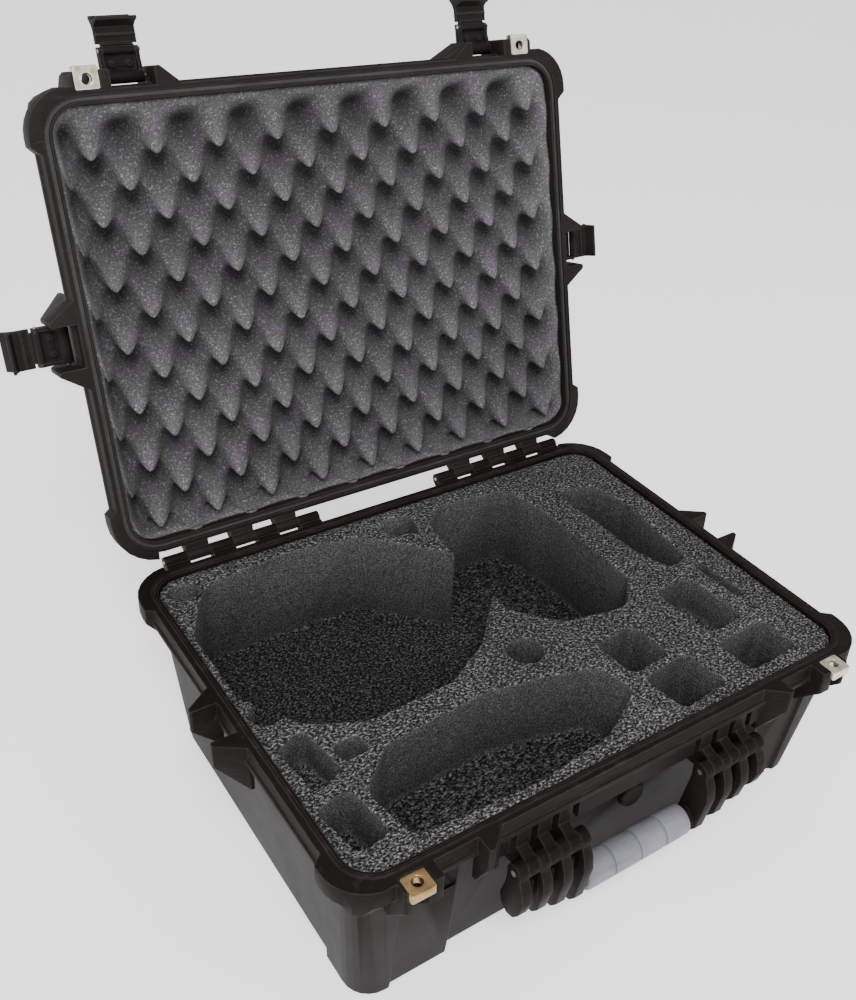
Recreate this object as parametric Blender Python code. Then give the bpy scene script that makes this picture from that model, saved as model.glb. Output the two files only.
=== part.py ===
"""Hard-shell carrying case with a hinged lid, six-sided foam lining and draw latches.

Frame: +Z up, X along the hinge and the front edge, -Y towards the carrying handle,
+Y towards the hinge. The origin is the middle of the flat underside.
The lid stands open on its stop, and its four latches are thrown open.
All numbers below are millimetres or degrees; meshes are made in metres.
"""
import math

import bmesh
import bpy
from mathutils import Matrix, Vector

MM = 0.001
GAP = 0.3                       # running gap between pieces that touch

# ---- driving dimensions of the case, closed ----
RIM_X = 262.5                   # half width of the rim band
RIM_Y = 203.7                   # half depth of the rim band
RIM_RADIUS = 36.0               # plan radius of the rim band's corners
MOUTH_X = 251.8                 # half width of the foam opening
MOUTH_Y = 193.0                 # half depth of the foam opening
MOUTH_RADIUS = 25.5
PART_Z = 162.5                  # top of the base rim
CASE_TOP = 231.0                # top of the closed lid
LID_Z = PART_Z + GAP            # lowest face of the closed lid
BEAD = 1.9                      # how far the bead stands out of the rim band
CORNER_STEPS = 6                # facets in each quarter-circle corner

# ---- base wall ----
FOOT_X, FOOT_Y = 236.0, 166.0   # half sizes of the flat underside
WALL_LOW_X, WALL_LOW_Y = 243.0, 172.5
WALL_TOP_X, WALL_TOP_Y = 254.5, 187.0
WALL_LOW_Z, WALL_TOP_Z = 6.0, 141.0
FLOOR_Z = 3.5
CAVITY_FOOT = (235.0, 164.0, 20)        # half width, half depth and corner radius of the floor
CAVITY_LOW = (239.5, 168.5, 24)
CAVITY_TOP = (251.0, 183.5, 26)

# ---- lid wall ----
LID_CAVITY_RIM = (250.5, 191.5, 25)
LID_CAVITY_TOP = (244.8, 185.8, 24)

# ---- lid hinge ----
HINGE_Y = 214.9
HINGE_Z = PART_Z + GAP / 2
HINGE_FROM, HINGE_TO = 70.0, 230.0
HINGE_KNUCKLES = 7
HINGE_BARREL_R = 5.5
HINGE_PIN_R = 1.6
LID_OPEN = 104.0

# ---- latches ----
LATCH_X = 178.5                 # middle of each front latch
SLOT_HALF = 19.0                # half width of the slot between two ears
LATCH_HALF = 17.2               # half width of a latch
PIVOT_OUT = 8.0                 # latch pivot, outside the rim band
PIVOT_Z = 188.5
PIVOT_PIN_R = 2.0
PIVOT_PIN_HALF = SLOT_HALF + 5.0
ARM_BARREL_R = 5.5
LEVER_DROP = 21.5               # lever pin below the latch pivot
LEVER_PIN_R = 1.5
LEVER_BARREL_R = 3.5
LATCH_OPEN = 90.0
LATCH_CUT = 30.0                # half length of the cutters for a latch's bores
EAR_FRONT = 15.3                # how far a front ear stands out of the rim band
EAR_SIDE = 22.5

# ---- padlock plates ----
PLATE_X0, PLATE_X1 = 206.4, 226.8
PLATE_Y0, PLATE_Y1 = -222.8, -204.0
PLATE_H = 8.0
PLATE_HOLE_R = 4.6

# ---- carrying handle ----
HANDLE_Y, HANDLE_Z = -214.0, 114.0
FIN_FROM = 62.0
FIN_WIDTH = 9.0
FIN_PITCH = 20.0
FIN_LENGTHS = (72.0, 65.0, 57.0, 49.0)   # inner fin first, below the pivot
HANDLE_PIN_R = 2.5
HANDLE_BORE_FROM, HANDLE_BORE_TO = 58.0, 141.0
BOSS_R = 8.5
GRIP_Y, GRIP_Z = 5.0, -57.0     # grip axis from the handle pivot
GRIP_R = 14.0
GRIP_HALF = 56.0
CORE_R = 9.0

# ---- pressure valve ----
VALVE_X, VALVE_Z = 8.0, 98.0
VALVE_NECK_R = 8.6
VALVE_KNURLS = 18

# ---- foam ----
FOAM_TOP = 159.5
PAD_TOP = 39.7
LID_FOAM_FACE = 165.6
FOAM_INSET = 0.5
POCKET_MARGIN = 5.5             # least foam between a pocket floor and the tray's side
TRAY_LOW = (241.9, 171.7, PAD_TOP + GAP)    # half sizes of the tray's foot, and its height
TRAY_HIGH = (*CAVITY_TOP[:2], 142.6)        # the same where the wall's slope ends


# ---------------------------------------------------------------- helpers
def rounded_rect(half_x, half_y, radius, z):
    """Corner-rounded rectangle at height z, counter-clockwise from above."""
    points = []
    for quarter, (sx, sy) in enumerate(((1, 1), (-1, 1), (-1, -1), (1, -1))):
        centre_x = sx * (half_x - radius)
        centre_y = sy * (half_y - radius)
        for step in range(CORNER_STEPS + 1):
            angle = math.radians(90 * (quarter + step / CORNER_STEPS))
            points.append((centre_x + radius * math.cos(angle),
                           centre_y + radius * math.sin(angle), z))
    return points


def rounded_outline(corners, radius, steps=4):
    """Closed outline through corners (x, y), each one turned with an arc."""
    outline = []
    count = len(corners)
    for index, corner in enumerate(corners):
        here = Vector(corner)
        back = (Vector(corners[index - 1]) - here)
        ahead = (Vector(corners[(index + 1) % count]) - here)
        half = back.angle(ahead) / 2
        reach = min(radius / math.tan(half), back.length * 0.48, ahead.length * 0.48)
        arc_radius = reach * math.tan(half)
        bisector = (back.normalized() + ahead.normalized()).normalized()
        centre = here + bisector * (arc_radius / math.sin(half))
        start = here + back.normalized() * reach - centre
        sweep = start.angle_signed(here + ahead.normalized() * reach - centre)
        for step in range(steps + 1):
            turned = start.copy()
            turned.rotate(Matrix.Rotation(-sweep * step / steps, 2))
            outline.append((centre.x + turned.x, centre.y + turned.y))
    return outline


def finish(bm):
    bmesh.ops.recalc_face_normals(bm, faces=bm.faces)
    return bm


def loft(rings, cyclic=False):
    """Closed solid through rings of equal length; capped unless it is cyclic."""
    bm = bmesh.new()
    rows = [[bm.verts.new(Vector(p) * MM) for p in ring] for ring in rings]
    pairs = list(zip(rows, rows[1:]))
    if cyclic:
        pairs.append((rows[-1], rows[0]))
    else:
        bm.faces.new(rows[0])
        bm.faces.new(rows[-1])
    for low, high in pairs:
        for i in range(len(low)):
            j = (i + 1) % len(low)
            bm.faces.new((low[i], low[j], high[j], high[i]))
    return finish(bm)


def plan_loft(outlines):
    """Solid through (x, y) outlines, each given with its height."""
    return loft([[(x, y, z) for x, y in outline] for outline, z in outlines])


def bar_x(profile, x0, x1):
    """Profile of (y, z) points carried along X."""
    return loft([[(x, y, z) for y, z in profile] for x in (x0, x1)])


def box(low, high):
    (x0, y0, z0), (x1, y1, z1) = low, high
    return plan_loft([(((x0, y0), (x1, y0), (x1, y1), (x0, y1)), z) for z in (z0, z1)])


def arc(centre, radius, start, end, steps):
    """Points on an arc in degrees, both ends included."""
    points = []
    for step in range(steps + 1):
        angle = math.radians(start + (end - start) * step / steps)
        points.append((centre[0] + radius * math.cos(angle),
                       centre[1] + radius * math.sin(angle)))
    return points


def rod_x(centre, radius, x0, x1, facets=16):
    """Round bar along X round centre (y, z)."""
    return bar_x(arc(centre, radius, 0, 360 - 360 / facets, facets - 1), x0, x1)


def rod_y(centre, radius, y0, y1, facets=24):
    """Round bar along Y round centre (x, z)."""
    profile = arc(centre, radius, 0, 360 - 360 / facets, facets - 1)
    return loft([[(x, y, z) for x, z in profile] for y in (y0, y1)])


def rod_z(centre, radius, z0, z1, facets=20):
    """Round bar along Z round centre (x, y)."""
    profile = arc(centre, radius, 0, 360 - 360 / facets, facets - 1)
    return plan_loft([(profile, z) for z in (z0, z1)])


def mirrored(bm):
    """A copy on the other side of the YZ plane."""
    copy = bm.copy()
    bmesh.ops.scale(copy, vec=(-1, 1, 1), verts=copy.verts)
    return finish(copy)


def both_sides(solids):
    return solids + [mirrored(solid) for solid in solids]


def turned(bm, degrees):
    """A copy turned about the Z axis through the origin."""
    copy = bm.copy()
    bmesh.ops.rotate(copy, matrix=Matrix.Rotation(math.radians(degrees), 3, 'Z'), verts=copy.verts)
    return copy


def joined(solids):
    """One mesh holding several closed bodies."""
    mesh = bpy.data.meshes.new("work")
    bm = bmesh.new()
    for solid in solids:
        solid.to_mesh(mesh)
        bm.from_mesh(mesh)
        solid.free()
    bpy.data.meshes.remove(mesh)
    return bm


def boolean(target, solids, operation):
    """target with the solids added (UNION) or cut away (DIFFERENCE)."""
    objects = []
    for label, bm in (("work_target", target), ("work_tool", joined(solids))):
        mesh = bpy.data.meshes.new(label)
        bm.to_mesh(mesh)
        bm.free()
        work = bpy.data.objects.new(label, mesh)
        bpy.context.scene.collection.objects.link(work)
        objects.append(work)
    modifier = objects[0].modifiers.new("cut", 'BOOLEAN')
    modifier.operation = operation
    modifier.solver = 'EXACT'
    modifier.use_self = True
    modifier.object = objects[1]
    evaluated = objects[0].evaluated_get(bpy.context.evaluated_depsgraph_get())
    result = bmesh.new()
    result.from_mesh(evaluated.data)
    for work in objects:
        mesh = work.data
        bpy.data.objects.remove(work)
        bpy.data.meshes.remove(mesh)
    bmesh.ops.remove_doubles(result, verts=result.verts, dist=0.00001)
    return result


def material(name, colour, roughness, metallic=0.0):
    made = bpy.data.materials.new(name)
    made.use_nodes = True
    shader = made.node_tree.nodes["Principled BSDF"]
    shader.inputs["Base Color"].default_value = (*colour, 1.0)
    shader.inputs["Roughness"].default_value = roughness
    shader.inputs["Metallic"].default_value = metallic
    return made


def empty(name, parent=None, location=(0, 0, 0), rotation=(0, 0, 0)):
    """Joint axis: pieces parented to it turn about its X axis."""
    made = bpy.data.objects.new(name, None)
    made.parent = parent
    made.location = Vector(location) * MM
    made.rotation_euler = [math.radians(angle) for angle in rotation]
    bpy.context.scene.collection.objects.link(made)
    return made


def piece(name, bm, made_of, parent=None, origin=(0, 0, 0), location=(0, 0, 0)):
    """Named object whose mesh is stored about origin and placed at location."""
    bmesh.ops.translate(bm, vec=-Vector(origin) * MM, verts=bm.verts)
    mesh = bpy.data.meshes.new(name)
    bm.to_mesh(mesh)
    bm.free()
    mesh.materials.append(made_of)
    mesh.shade_smooth()
    mesh.set_sharp_from_angle(angle=math.radians(32))
    made = bpy.data.objects.new(name, mesh)
    made.parent = parent
    made.location = Vector(location) * MM
    bpy.context.scene.collection.objects.link(made)
    return made


# ---------------------------------------------------------------- rim features
def ear_outline(slot_x, out, slope):
    """Plan of a latch ear on the front: flat slot face, short crest, long slope."""
    face = -RIM_Y + 4
    tip = -RIM_Y - out
    return ((slot_x, face), (slot_x, tip + 1.2), (slot_x - 1.2, tip), (slot_x - 4.5, tip),
            (slot_x - slope, -RIM_Y - 0.5), (slot_x - slope, face))


def shrunk(outline, keep):
    """Outline drawn back towards the rim band, keeping a share of its height."""
    return tuple((x, -RIM_Y + (y + RIM_Y) * keep if y < -RIM_Y else y) for x, y in outline)


def ear(slot_x, out, slope, z_rim, z_full, z_end):
    """Latch ear from the rim face to z_end, tapering beyond z_full."""
    outline = ear_outline(slot_x, out, slope)
    return plan_loft([(outline, z_rim), (outline, z_full), (shrunk(outline, 0.06), z_end)])


def bumper_outline():
    """Plan of the front right corner bumper."""
    corner = arc((RIM_X - 30, -RIM_Y + 33), 38, -78, 0, 7)
    return ([(PLATE_X1 - 6, -RIM_Y + 4), (PLATE_X1 - 6, -RIM_Y - 3.6)] + corner
            + [(RIM_X + 8, -164.0), (RIM_X - 1, -156.0), (RIM_X - 10, -156.0),
               (RIM_X - 12, -RIM_Y + 12)])


def front_bumper(z_rim, z_full, z_end):
    full = bumper_outline()
    small = [(min(x, RIM_X - 1.0), max(y, -RIM_Y + 1.0)) for x, y in full]
    return plan_loft([(full, z_rim), (full, z_full), (small, z_end)])


def padlock_boss(z_rim, z_full, z_end):
    """Block beside the front latch that carries the padlock plate."""
    x0, x1 = LATCH_X + SLOT_HALF, PLATE_X1 + 3.0
    nose = -RIM_Y - EAR_FRONT
    outline = [(x0, -RIM_Y + 10), (x0, nose + 1.2), (x0 + 1.2, nose), (x1 - 3.0, nose),
               (x1, nose + 3.0), (x1, -RIM_Y + 10)]
    small = [(x, max(y, -RIM_Y + 8.0)) for x, y in outline]
    return plan_loft([(outline, z_rim), (outline, z_full), (small, z_end)])


def back_bumper_outline(out):
    """Plan of a back right corner bumper that stands out of the rim by out."""
    radius = RIM_RADIUS + out
    corner = arc((RIM_X - RIM_RADIUS, RIM_Y - RIM_RADIUS), radius, 0, 82, 6)
    return ([(RIM_X - 12, 152.0), (RIM_X - 1, 152.0), (RIM_X + out, 158.0)] + corner
            + [(232.0, RIM_Y - 2), (232.0, RIM_Y - 12)])


def back_bumper(z_rim, z_full, z_end):
    full = back_bumper_outline(7.0)
    small = [(min(x, RIM_X - 1.0), min(y, RIM_Y - 1.0)) for x, y in full]
    return plan_loft([(full, z_rim), (full, z_full), (small, z_end)])


def rim_features(z_rim, z_ear, z_ear_end, z_bumper, z_bumper_end):
    """Ears, padlock bosses and bumpers that both shells carry round the rim."""
    inner_ear = ear(LATCH_X - SLOT_HALF, EAR_FRONT, 21.5, z_rim, z_ear, z_ear_end)
    solids = both_sides([inner_ear, padlock_boss(z_rim, z_ear, z_ear_end),
                         front_bumper(z_rim, z_bumper, z_bumper_end),
                         back_bumper(z_rim, z_bumper, z_bumper_end)])
    side_pair = both_sides([side_ear(z_rim, z_ear, z_ear_end)])
    for solid in side_pair:
        solids.append(turned(solid, 90))
        solids.append(turned(solid, -90))
    return solids


def side_ear(z_rim, z_full, z_end):
    """Latch ear of a side latch, drawn for the front and turned to the side later."""
    shift = RIM_X - RIM_Y
    outline = [(x, y - shift) for x, y in ear_outline(-SLOT_HALF, EAR_SIDE, 20.0)]
    root = [(x, max(y, -RIM_X + 1.0)) for x, y in outline]
    return plan_loft([(outline, z_rim), (outline, z_full), (root, z_end)])


def knuckle_ranges(first):
    """X ranges of every second hinge knuckle, starting with number first."""
    pitch = (HINGE_TO - HINGE_FROM) / HINGE_KNUCKLES
    ranges = []
    for number in range(first, HINGE_KNUCKLES, 2):
        low = HINGE_FROM + pitch * number
        ranges.append((low + 0.25, low + pitch - 0.25))
    return ranges


def hinge_knuckles(first, up):
    """Barrels with their leaves on one shell; up is 1 on the lid and -1 on the base."""
    leaf = [(-13.5, 2.6), (-11.0, 0.25), (0.0, 0.25), (5.2, 1.6), (3.9, 4.9), (-8.9, 16.0),
            (-13.5, 16.0)]
    profile = [(HINGE_Y + y, HINGE_Z + up * z) for y, z in leaf]
    solids = []
    for x0, x1 in knuckle_ranges(first):
        solids.append(bar_x(profile, x0, x1))
        solids.append(rod_x((HINGE_Y, HINGE_Z), HINGE_BARREL_R, x0 + 0.02, x1 - 0.02))
    return both_sides(solids)


def hinge_bores():
    return both_sides([rod_x((HINGE_Y, HINGE_Z), HINGE_PIN_R + GAP,
                             HINGE_FROM - 2, HINGE_TO + 2, 12)])


def plate_seat(z0, z1):
    """Seat for a padlock plate, open to the front."""
    return box((PLATE_X0 - GAP, PLATE_Y0 - 4, z0), (PLATE_X1 + GAP, PLATE_Y1 + GAP, z1))


# ---------------------------------------------------------------- base shell
def base_outside():
    rings = ((FOOT_X, FOOT_Y, 24, 0), (WALL_LOW_X, WALL_LOW_Y, 30, WALL_LOW_Z),
             (WALL_TOP_X, WALL_TOP_Y, 34, WALL_TOP_Z),
             (RIM_X + BEAD, RIM_Y + BEAD, RIM_RADIUS + BEAD, 145.0),
             (RIM_X + BEAD, RIM_Y + BEAD, RIM_RADIUS + BEAD, 149.0),
             (RIM_X, RIM_Y, RIM_RADIUS, 150.5), (RIM_X, RIM_Y, RIM_RADIUS, PART_Z),
             (257.6, 198.8, 31.3, PART_Z), (257.6, 198.8, 31.3, PART_Z + 1.5),
             (254.9, 196.1, 28.6, PART_Z + 1.5), (254.9, 196.1, 28.6, PART_Z))
    return loft([rounded_rect(*ring) for ring in rings])


def base_cavity():
    rings = ((*CAVITY_FOOT, FLOOR_Z), (*CAVITY_LOW, 7.0), (*CAVITY_TOP, 142.0),
             (MOUTH_X, MOUTH_Y, MOUTH_RADIUS, 151.0), (MOUTH_X, MOUTH_Y, MOUTH_RADIUS, 175.0))
    return loft([rounded_rect(*ring) for ring in rings])


def corner_pillar():
    """Front right corner pillar, standing proud of the front wall."""
    outlines = []
    for half_x, front, z in ((244.6, 180.0, 0.7), (256.8, 197.0, 143.5)):
        corner = arc((half_x - 24, -front + 24), 24, -90, 0, 6)
        outlines.append(([(213.5, -front + 12), (213.5, -front + 3.2), (217.0, -front)] + corner
                         + [(half_x, -front + 50), (half_x - 12, -front + 50)], z))
    return plan_loft(outlines)


def front_panel():
    """Raised panel under a front latch, between the pillar and the middle wall."""
    outlines = []
    for front, z in ((177.0, 0.8), (194.0, 143.5)):
        outlines.append((((158.0, -front + 11), (158.0, -front + 5.0), (163.0, -front),
                          (226.0, -front), (226.0, -front + 11)), z))
    return plan_loft(outlines)


def handle_header():
    """Thick band over the handle; its lower edge is the roof of the grip recess."""
    profile = ((-184.0, 122.0), (-200.5, 122.0), (-203.2, 125.0), (-203.2, 146.0), (-184.0, 146.0))
    return bar_x(profile, -147.0, 147.0)


def fin_ranges():
    return [(FIN_FROM + FIN_PITCH * n, FIN_FROM + FIN_PITCH * n + FIN_WIDTH)
            for n in range(len(FIN_LENGTHS))]


def handle_knuckles():
    """Barrels that stand between the handle's fins, with their webs to the wall."""
    solids = []
    fins = fin_ranges()
    web = [(HANDLE_Y, 7.9), (-185.0, 20.0), (-180.0, 8.0), (-180.0, -12.0), (HANDLE_Y, -7.9)]
    profile = [(y, HANDLE_Z + z) for y, z in web]
    for left, right in zip(fins, fins[1:]):
        x0, x1 = left[1] + 0.5, right[0] - 0.5
        solids.append(bar_x(profile, x0 + 0.03, x1 - 0.03))
        solids.append(rod_x((HANDLE_Y, HANDLE_Z), 8.0, x0, x1))
    return both_sides(solids)


def header_notches():
    """Slots in the header above the handle's fins."""
    profile = ((-196.0, 119.0), (-210.0, 119.0), (-210.0, 142.0), (-199.0, 142.0), (-196.0, 137.0))
    return both_sides([bar_x(profile, x0 - 0.2, x1 - 2.0) for x0, x1 in fin_ranges()])


def latch_pocket():
    """Finger pocket in the front panel, under the latch."""
    outline = [(163.5, -210.0), (193.5, -210.0), (192.0, -187.3), (165.0, -187.3)]
    low = [(164.5, -210.0), (192.5, -210.0), (191.0, -187.3), (166.0, -187.3)]
    return plan_loft([(low, 99.0), (outline, 140.0)])


def shackle_pocket(z_near, z_far):
    """Room for a padlock's shackle behind a plate."""
    near = [(208.5, -230.0), (224.7, -230.0), (224.7, -201.0), (208.5, -201.0)]
    far = [(210.5, -230.0), (222.7, -230.0), (222.7, -203.0), (210.5, -203.0)]
    return plan_loft([(near, z_near), (far, z_far)])


def underside_grooves():
    """Two shallow channels that leave the flat underside as three pads."""
    outline = rounded_outline(((84.0, -150.0), (100.0, -150.0), (100.0, 150.0), (84.0, 150.0)), 7.5)
    return both_sides([plan_loft([(outline, -2.0), (outline, 1.6)])])


def base_shell():
    solids = rim_features(PART_Z, 140.0, 116.0, 146.6, 139.0)
    solids += both_sides([corner_pillar(), front_panel()])
    solids += [handle_header()]
    solids += handle_knuckles() + hinge_knuckles(0, -1)
    shell = boolean(base_outside(), solids, 'UNION')
    cuts = [base_cavity()]
    cuts += both_sides([latch_pocket(), shackle_pocket(PART_Z - PLATE_H + 2, 126.0),
                        plate_seat(PART_Z - PLATE_H - GAP, PART_Z + 5)])
    cuts += header_notches() + hinge_bores() + underside_grooves()
    cuts += both_sides([rod_x((HANDLE_Y, HANDLE_Z), HANDLE_PIN_R + GAP,
                              HANDLE_BORE_FROM, HANDLE_BORE_TO, 12)])
    cuts.append(rod_y((VALVE_X, VALVE_Z), VALVE_NECK_R + GAP, -200.0, -160.0))
    return boolean(shell, cuts, 'DIFFERENCE')


# ---------------------------------------------------------------- lid shell
def lid_outside():
    rings = ((RIM_X, RIM_Y, RIM_RADIUS, LID_Z), (RIM_X, RIM_Y, RIM_RADIUS, 174.8),
             (RIM_X + BEAD, RIM_Y + BEAD, RIM_RADIUS + BEAD, 176.3),
             (RIM_X + BEAD, RIM_Y + BEAD, RIM_RADIUS + BEAD, 180.3),
             (255.5, 196.5, 34, 184.0), (249.0, 190.0, 30, 222.0), (243.0, 184.0, 26, 228.4))
    return loft([rounded_rect(*ring) for ring in rings])


def lid_cavity():
    rings = ((MOUTH_X, MOUTH_Y, MOUTH_RADIUS, 150.0), (MOUTH_X, MOUTH_Y, MOUTH_RADIUS, 174.0),
             (*LID_CAVITY_RIM, 184.0), (*LID_CAVITY_TOP, 219.0), (240.0, 181.0, 20, 224.8))
    return loft([rounded_rect(*ring) for ring in rings])


def rim_ring(inset_in, inset_out, z0, z1):
    """Ring that follows the rim, between two insets from the rim band."""
    rings = []
    for inset, z in ((inset_in, z0), (inset_out, z0), (inset_out, z1), (inset_in, z1)):
        rings.append(rounded_rect(RIM_X - inset, RIM_Y - inset, RIM_RADIUS - inset, z))
    return loft(rings, cyclic=True)


def lid_top_bars():
    """Raised bars on the lid, so that a closed case stacks on another."""
    solids = []
    for centre, half in ((0.0, 62.0), (150.0, 46.0)):
        full = rounded_outline(((centre - half, -150.0), (centre + half, -150.0),
                                (centre + half, 150.0), (centre - half, 150.0)), 14.0)
        small = rounded_outline(((centre - half + 3, -147.0), (centre + half - 3, -147.0),
                                 (centre + half - 3, 147.0), (centre - half + 3, 147.0)), 11.0)
        solids.append(plan_loft([(full, 226.5), (small, CASE_TOP)]))
    return [solids[0]] + both_sides(solids[1:])


def pivot_bore():
    """Blind bores for a latch pivot pin, in both ears of the front right latch."""
    return rod_x((-RIM_Y - PIVOT_OUT, PIVOT_Z), PIVOT_PIN_R + GAP,
                 LATCH_X - PIVOT_PIN_HALF - GAP, LATCH_X + PIVOT_PIN_HALF + GAP, 12)


def slot_webs():
    """Floors of the lid's four latch slots, behind the latch barrels."""
    def web(face, x0, x1):
        profile = ((face + 12, 174.0), (face - 1.6, 177.0), (face - 1.6, 194.0), (face + 12, 206.0))
        return bar_x(profile, x0, x1)
    front = web(-RIM_Y, LATCH_X - SLOT_HALF - 1, LATCH_X + SLOT_HALF + 1)
    side = web(-RIM_X, -SLOT_HALF - 1, SLOT_HALF + 1)
    return both_sides([front]) + [turned(side, 90), turned(side, -90)]


def side_pivot_bore():
    bore = rod_x((-RIM_X - PIVOT_OUT, PIVOT_Z), PIVOT_PIN_R + GAP,
                 -PIVOT_PIN_HALF - GAP, PIVOT_PIN_HALF + GAP, 12)
    return [turned(bore, 90), turned(bore, -90)]


def lid_shell():
    solids = rim_features(LID_Z, 193.0, 214.0, 179.5, 187.5) + slot_webs()
    solids += lid_top_bars() + hinge_knuckles(1, 1)
    shell = boolean(lid_outside(), solids, 'UNION')
    cuts = [lid_cavity(), rim_ring(8.3, 4.3, LID_Z - 3, LID_Z + 4.2)]
    cuts += both_sides([plate_seat(LID_Z - 5, LID_Z + PLATE_H + GAP), pivot_bore(),
                        shackle_pocket(LID_Z + PLATE_H - 2, 204.0)])
    cuts += side_pivot_bore() + hinge_bores()
    return boolean(shell, cuts, 'DIFFERENCE')


# ---------------------------------------------------------------- small parts
def padlock_plate(z0):
    outline = rounded_outline(((PLATE_X0, PLATE_Y0), (PLATE_X1, PLATE_Y0), (PLATE_X1, PLATE_Y1),
                               (PLATE_X0, PLATE_Y1)), 1.6, 2)
    block = plan_loft([(outline, z0), (outline, z0 + PLATE_H)])
    centre = ((PLATE_X0 + PLATE_X1) / 2, (PLATE_Y0 + PLATE_Y1) / 2 + 1.0)
    return boolean(block, [rod_z(centre, PLATE_HOLE_R, z0 - 2, z0 + PLATE_H + 2)], 'DIFFERENCE')


def latch_arm():
    """Latch arm about its pivot, hanging down; -Y faces away from the case."""
    drop = LEVER_DROP
    plate = [(-5.4, -1.0), (-2.4, -1.0), (-2.4, -drop - 2.8), (-5.4, -drop - 2.8)]
    cheek = [(-5.4, 0.0), (2.6, -2.0), (2.6, -7.0), (0.8, -14.0), (1.8, -drop), (-0.6, -drop - 2.8),
             (-5.4, -drop - 2.8)]
    solids = [rod_x((0, 0), ARM_BARREL_R, -LATCH_HALF + 0.02, LATCH_HALF - 0.02, 16)]
    for x0 in (-LATCH_HALF, LATCH_HALF - 3.4):
        solids.append(bar_x(cheek, x0, x0 + 3.4))
    for x in (-7.5, 7.5):
        solids.append(rod_y((x, -10.5), 2.6, -4.0, 0.6, 12))
    base = bar_x(plate, -LATCH_HALF + 0.01, LATCH_HALF - 0.01)
    body = boolean(base, solids, 'UNION')
    bores = [rod_x((0, 0), PIVOT_PIN_R + GAP, -LATCH_CUT, LATCH_CUT, 12),
             rod_x((-0.8, -drop), LEVER_PIN_R + GAP, -LATCH_CUT, LATCH_CUT, 12)]
    relief = box((-LATCH_HALF + 3.4, -7.0, -drop - 4.0), (LATCH_HALF - 3.4, 4.0, -drop + 3.4))
    return boolean(body, bores + [relief], 'DIFFERENCE')


def latch_lever():
    """Pull lever about its pin, hanging down, with the hook that holds the base."""
    half = LATCH_HALF
    inner = half - 3.4 - GAP
    tongue = [(-4.6, -2.4), (-2.6, 0.0), (2.4, 0.0), (2.2, -3.0), (-0.4, -4.4), (-0.4, -6.2),
              (-4.6, -6.2)]
    plate = [(-4.6, -5.0), (-0.8, -5.0), (-0.8, -18.2), (2.2, -20.6), (9.2, -23.6), (9.2, -25.8),
             (1.6, -24.4), (-4.0, -23.8), (-10.2, -27.5), (-11.4, -25.4), (-6.4, -20.2),
             (-4.6, -16.0)]
    ridge = [(-4.0, -11.6), (1.0, -11.6), (1.0, -13.2), (-4.0, -13.2)]
    base = bar_x(tongue, -inner, inner)
    barrel = rod_x((0, 0), LEVER_BARREL_R, -inner + 0.03, inner - 0.03)
    body = boolean(base, [barrel, bar_x(plate, -half, half), bar_x(ridge, -half + 0.6, half - 0.6)],
                   'UNION')
    return boolean(body, [rod_x((0, 0), LEVER_PIN_R + GAP, -LATCH_CUT, LATCH_CUT, 12)], 'DIFFERENCE')


def fin_profile(length):
    """Side view of one handle fin about the pivot, reaching length below it."""
    lean = GRIP_Y * length / -GRIP_Z
    return (arc((0, 0), BOSS_R, 200, 0, 8)
            + [(8.0, -9.0), (9.0, -16.0), (lean + 10.0, 14.0 - length), (lean + 7.0, 5.0 - length),
               (lean, -length), (lean - 8.0, 2.0 - length), (lean - 14.0, 10.0 - length),
               (-14.5, -24.0), (-12.5, -12.0)])


def handle_frame():
    """Both ribbed arms and the core bar that the grip is moulded on."""
    solids = []
    for (x0, x1), length in zip(fin_ranges(), FIN_LENGTHS):
        solids.append(bar_x(fin_profile(length), x0, x1))
    back = [(8.4, -20.0), (9.6, -33.0), (5.0, -37.0), (-1.0, -37.0), (-1.0, -20.0)]
    web_to = FIN_FROM + FIN_PITCH * (len(FIN_LENGTHS) - 1) + 1.0
    solids.append(bar_x(back, FIN_FROM + 1.0, web_to))
    solids = both_sides(solids)
    core = rod_x((GRIP_Y, GRIP_Z), CORE_R, -FIN_FROM - 1.0, FIN_FROM + 1.0, 20)
    frame = boolean(core, solids, 'UNION')
    bore = rod_x((0, 0), HANDLE_PIN_R + GAP, HANDLE_BORE_FROM, HANDLE_BORE_TO, 12)
    return boolean(frame, both_sides([bore]), 'DIFFERENCE')


def handle_grip():
    """Soft sleeve round the core, slightly crowned."""
    facets = 28
    rings = []
    for x, radius in ((-GRIP_HALF, 12.8), (-GRIP_HALF + 2.5, GRIP_R - 0.2), (0.0, GRIP_R),
                      (GRIP_HALF - 2.5, GRIP_R - 0.2), (GRIP_HALF, 12.8)):
        profile = arc((GRIP_Y, GRIP_Z), radius, 0, 360 - 360 / facets, facets - 1)
        rings.append([(x, y, z) for y, z in profile])
    sleeve = loft(rings)
    bore = rod_x((GRIP_Y, GRIP_Z), CORE_R + GAP, -GRIP_HALF - 5, GRIP_HALF + 5, 20)
    return boolean(sleeve, [bore], 'DIFFERENCE')


def valve_seat_y():
    """Outside of the front wall at the valve's height."""
    share = (VALVE_Z - WALL_LOW_Z) / (WALL_TOP_Z - WALL_LOW_Z)
    return -(WALL_LOW_Y + share * (WALL_TOP_Y - WALL_LOW_Y))


def valve_body():
    seat = valve_seat_y()
    flange = rod_y((VALVE_X, VALVE_Z), 13.5, seat - 5.0, seat - 2.0)
    neck = rod_y((VALVE_X, VALVE_Z), VALVE_NECK_R, seat - 3.0, seat + 9.2)
    body = boolean(flange, [neck], 'UNION')
    return boolean(body, [rod_y((VALVE_X, VALVE_Z), 3.0, seat - 1.0, seat + 12, 12)], 'DIFFERENCE')


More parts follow.
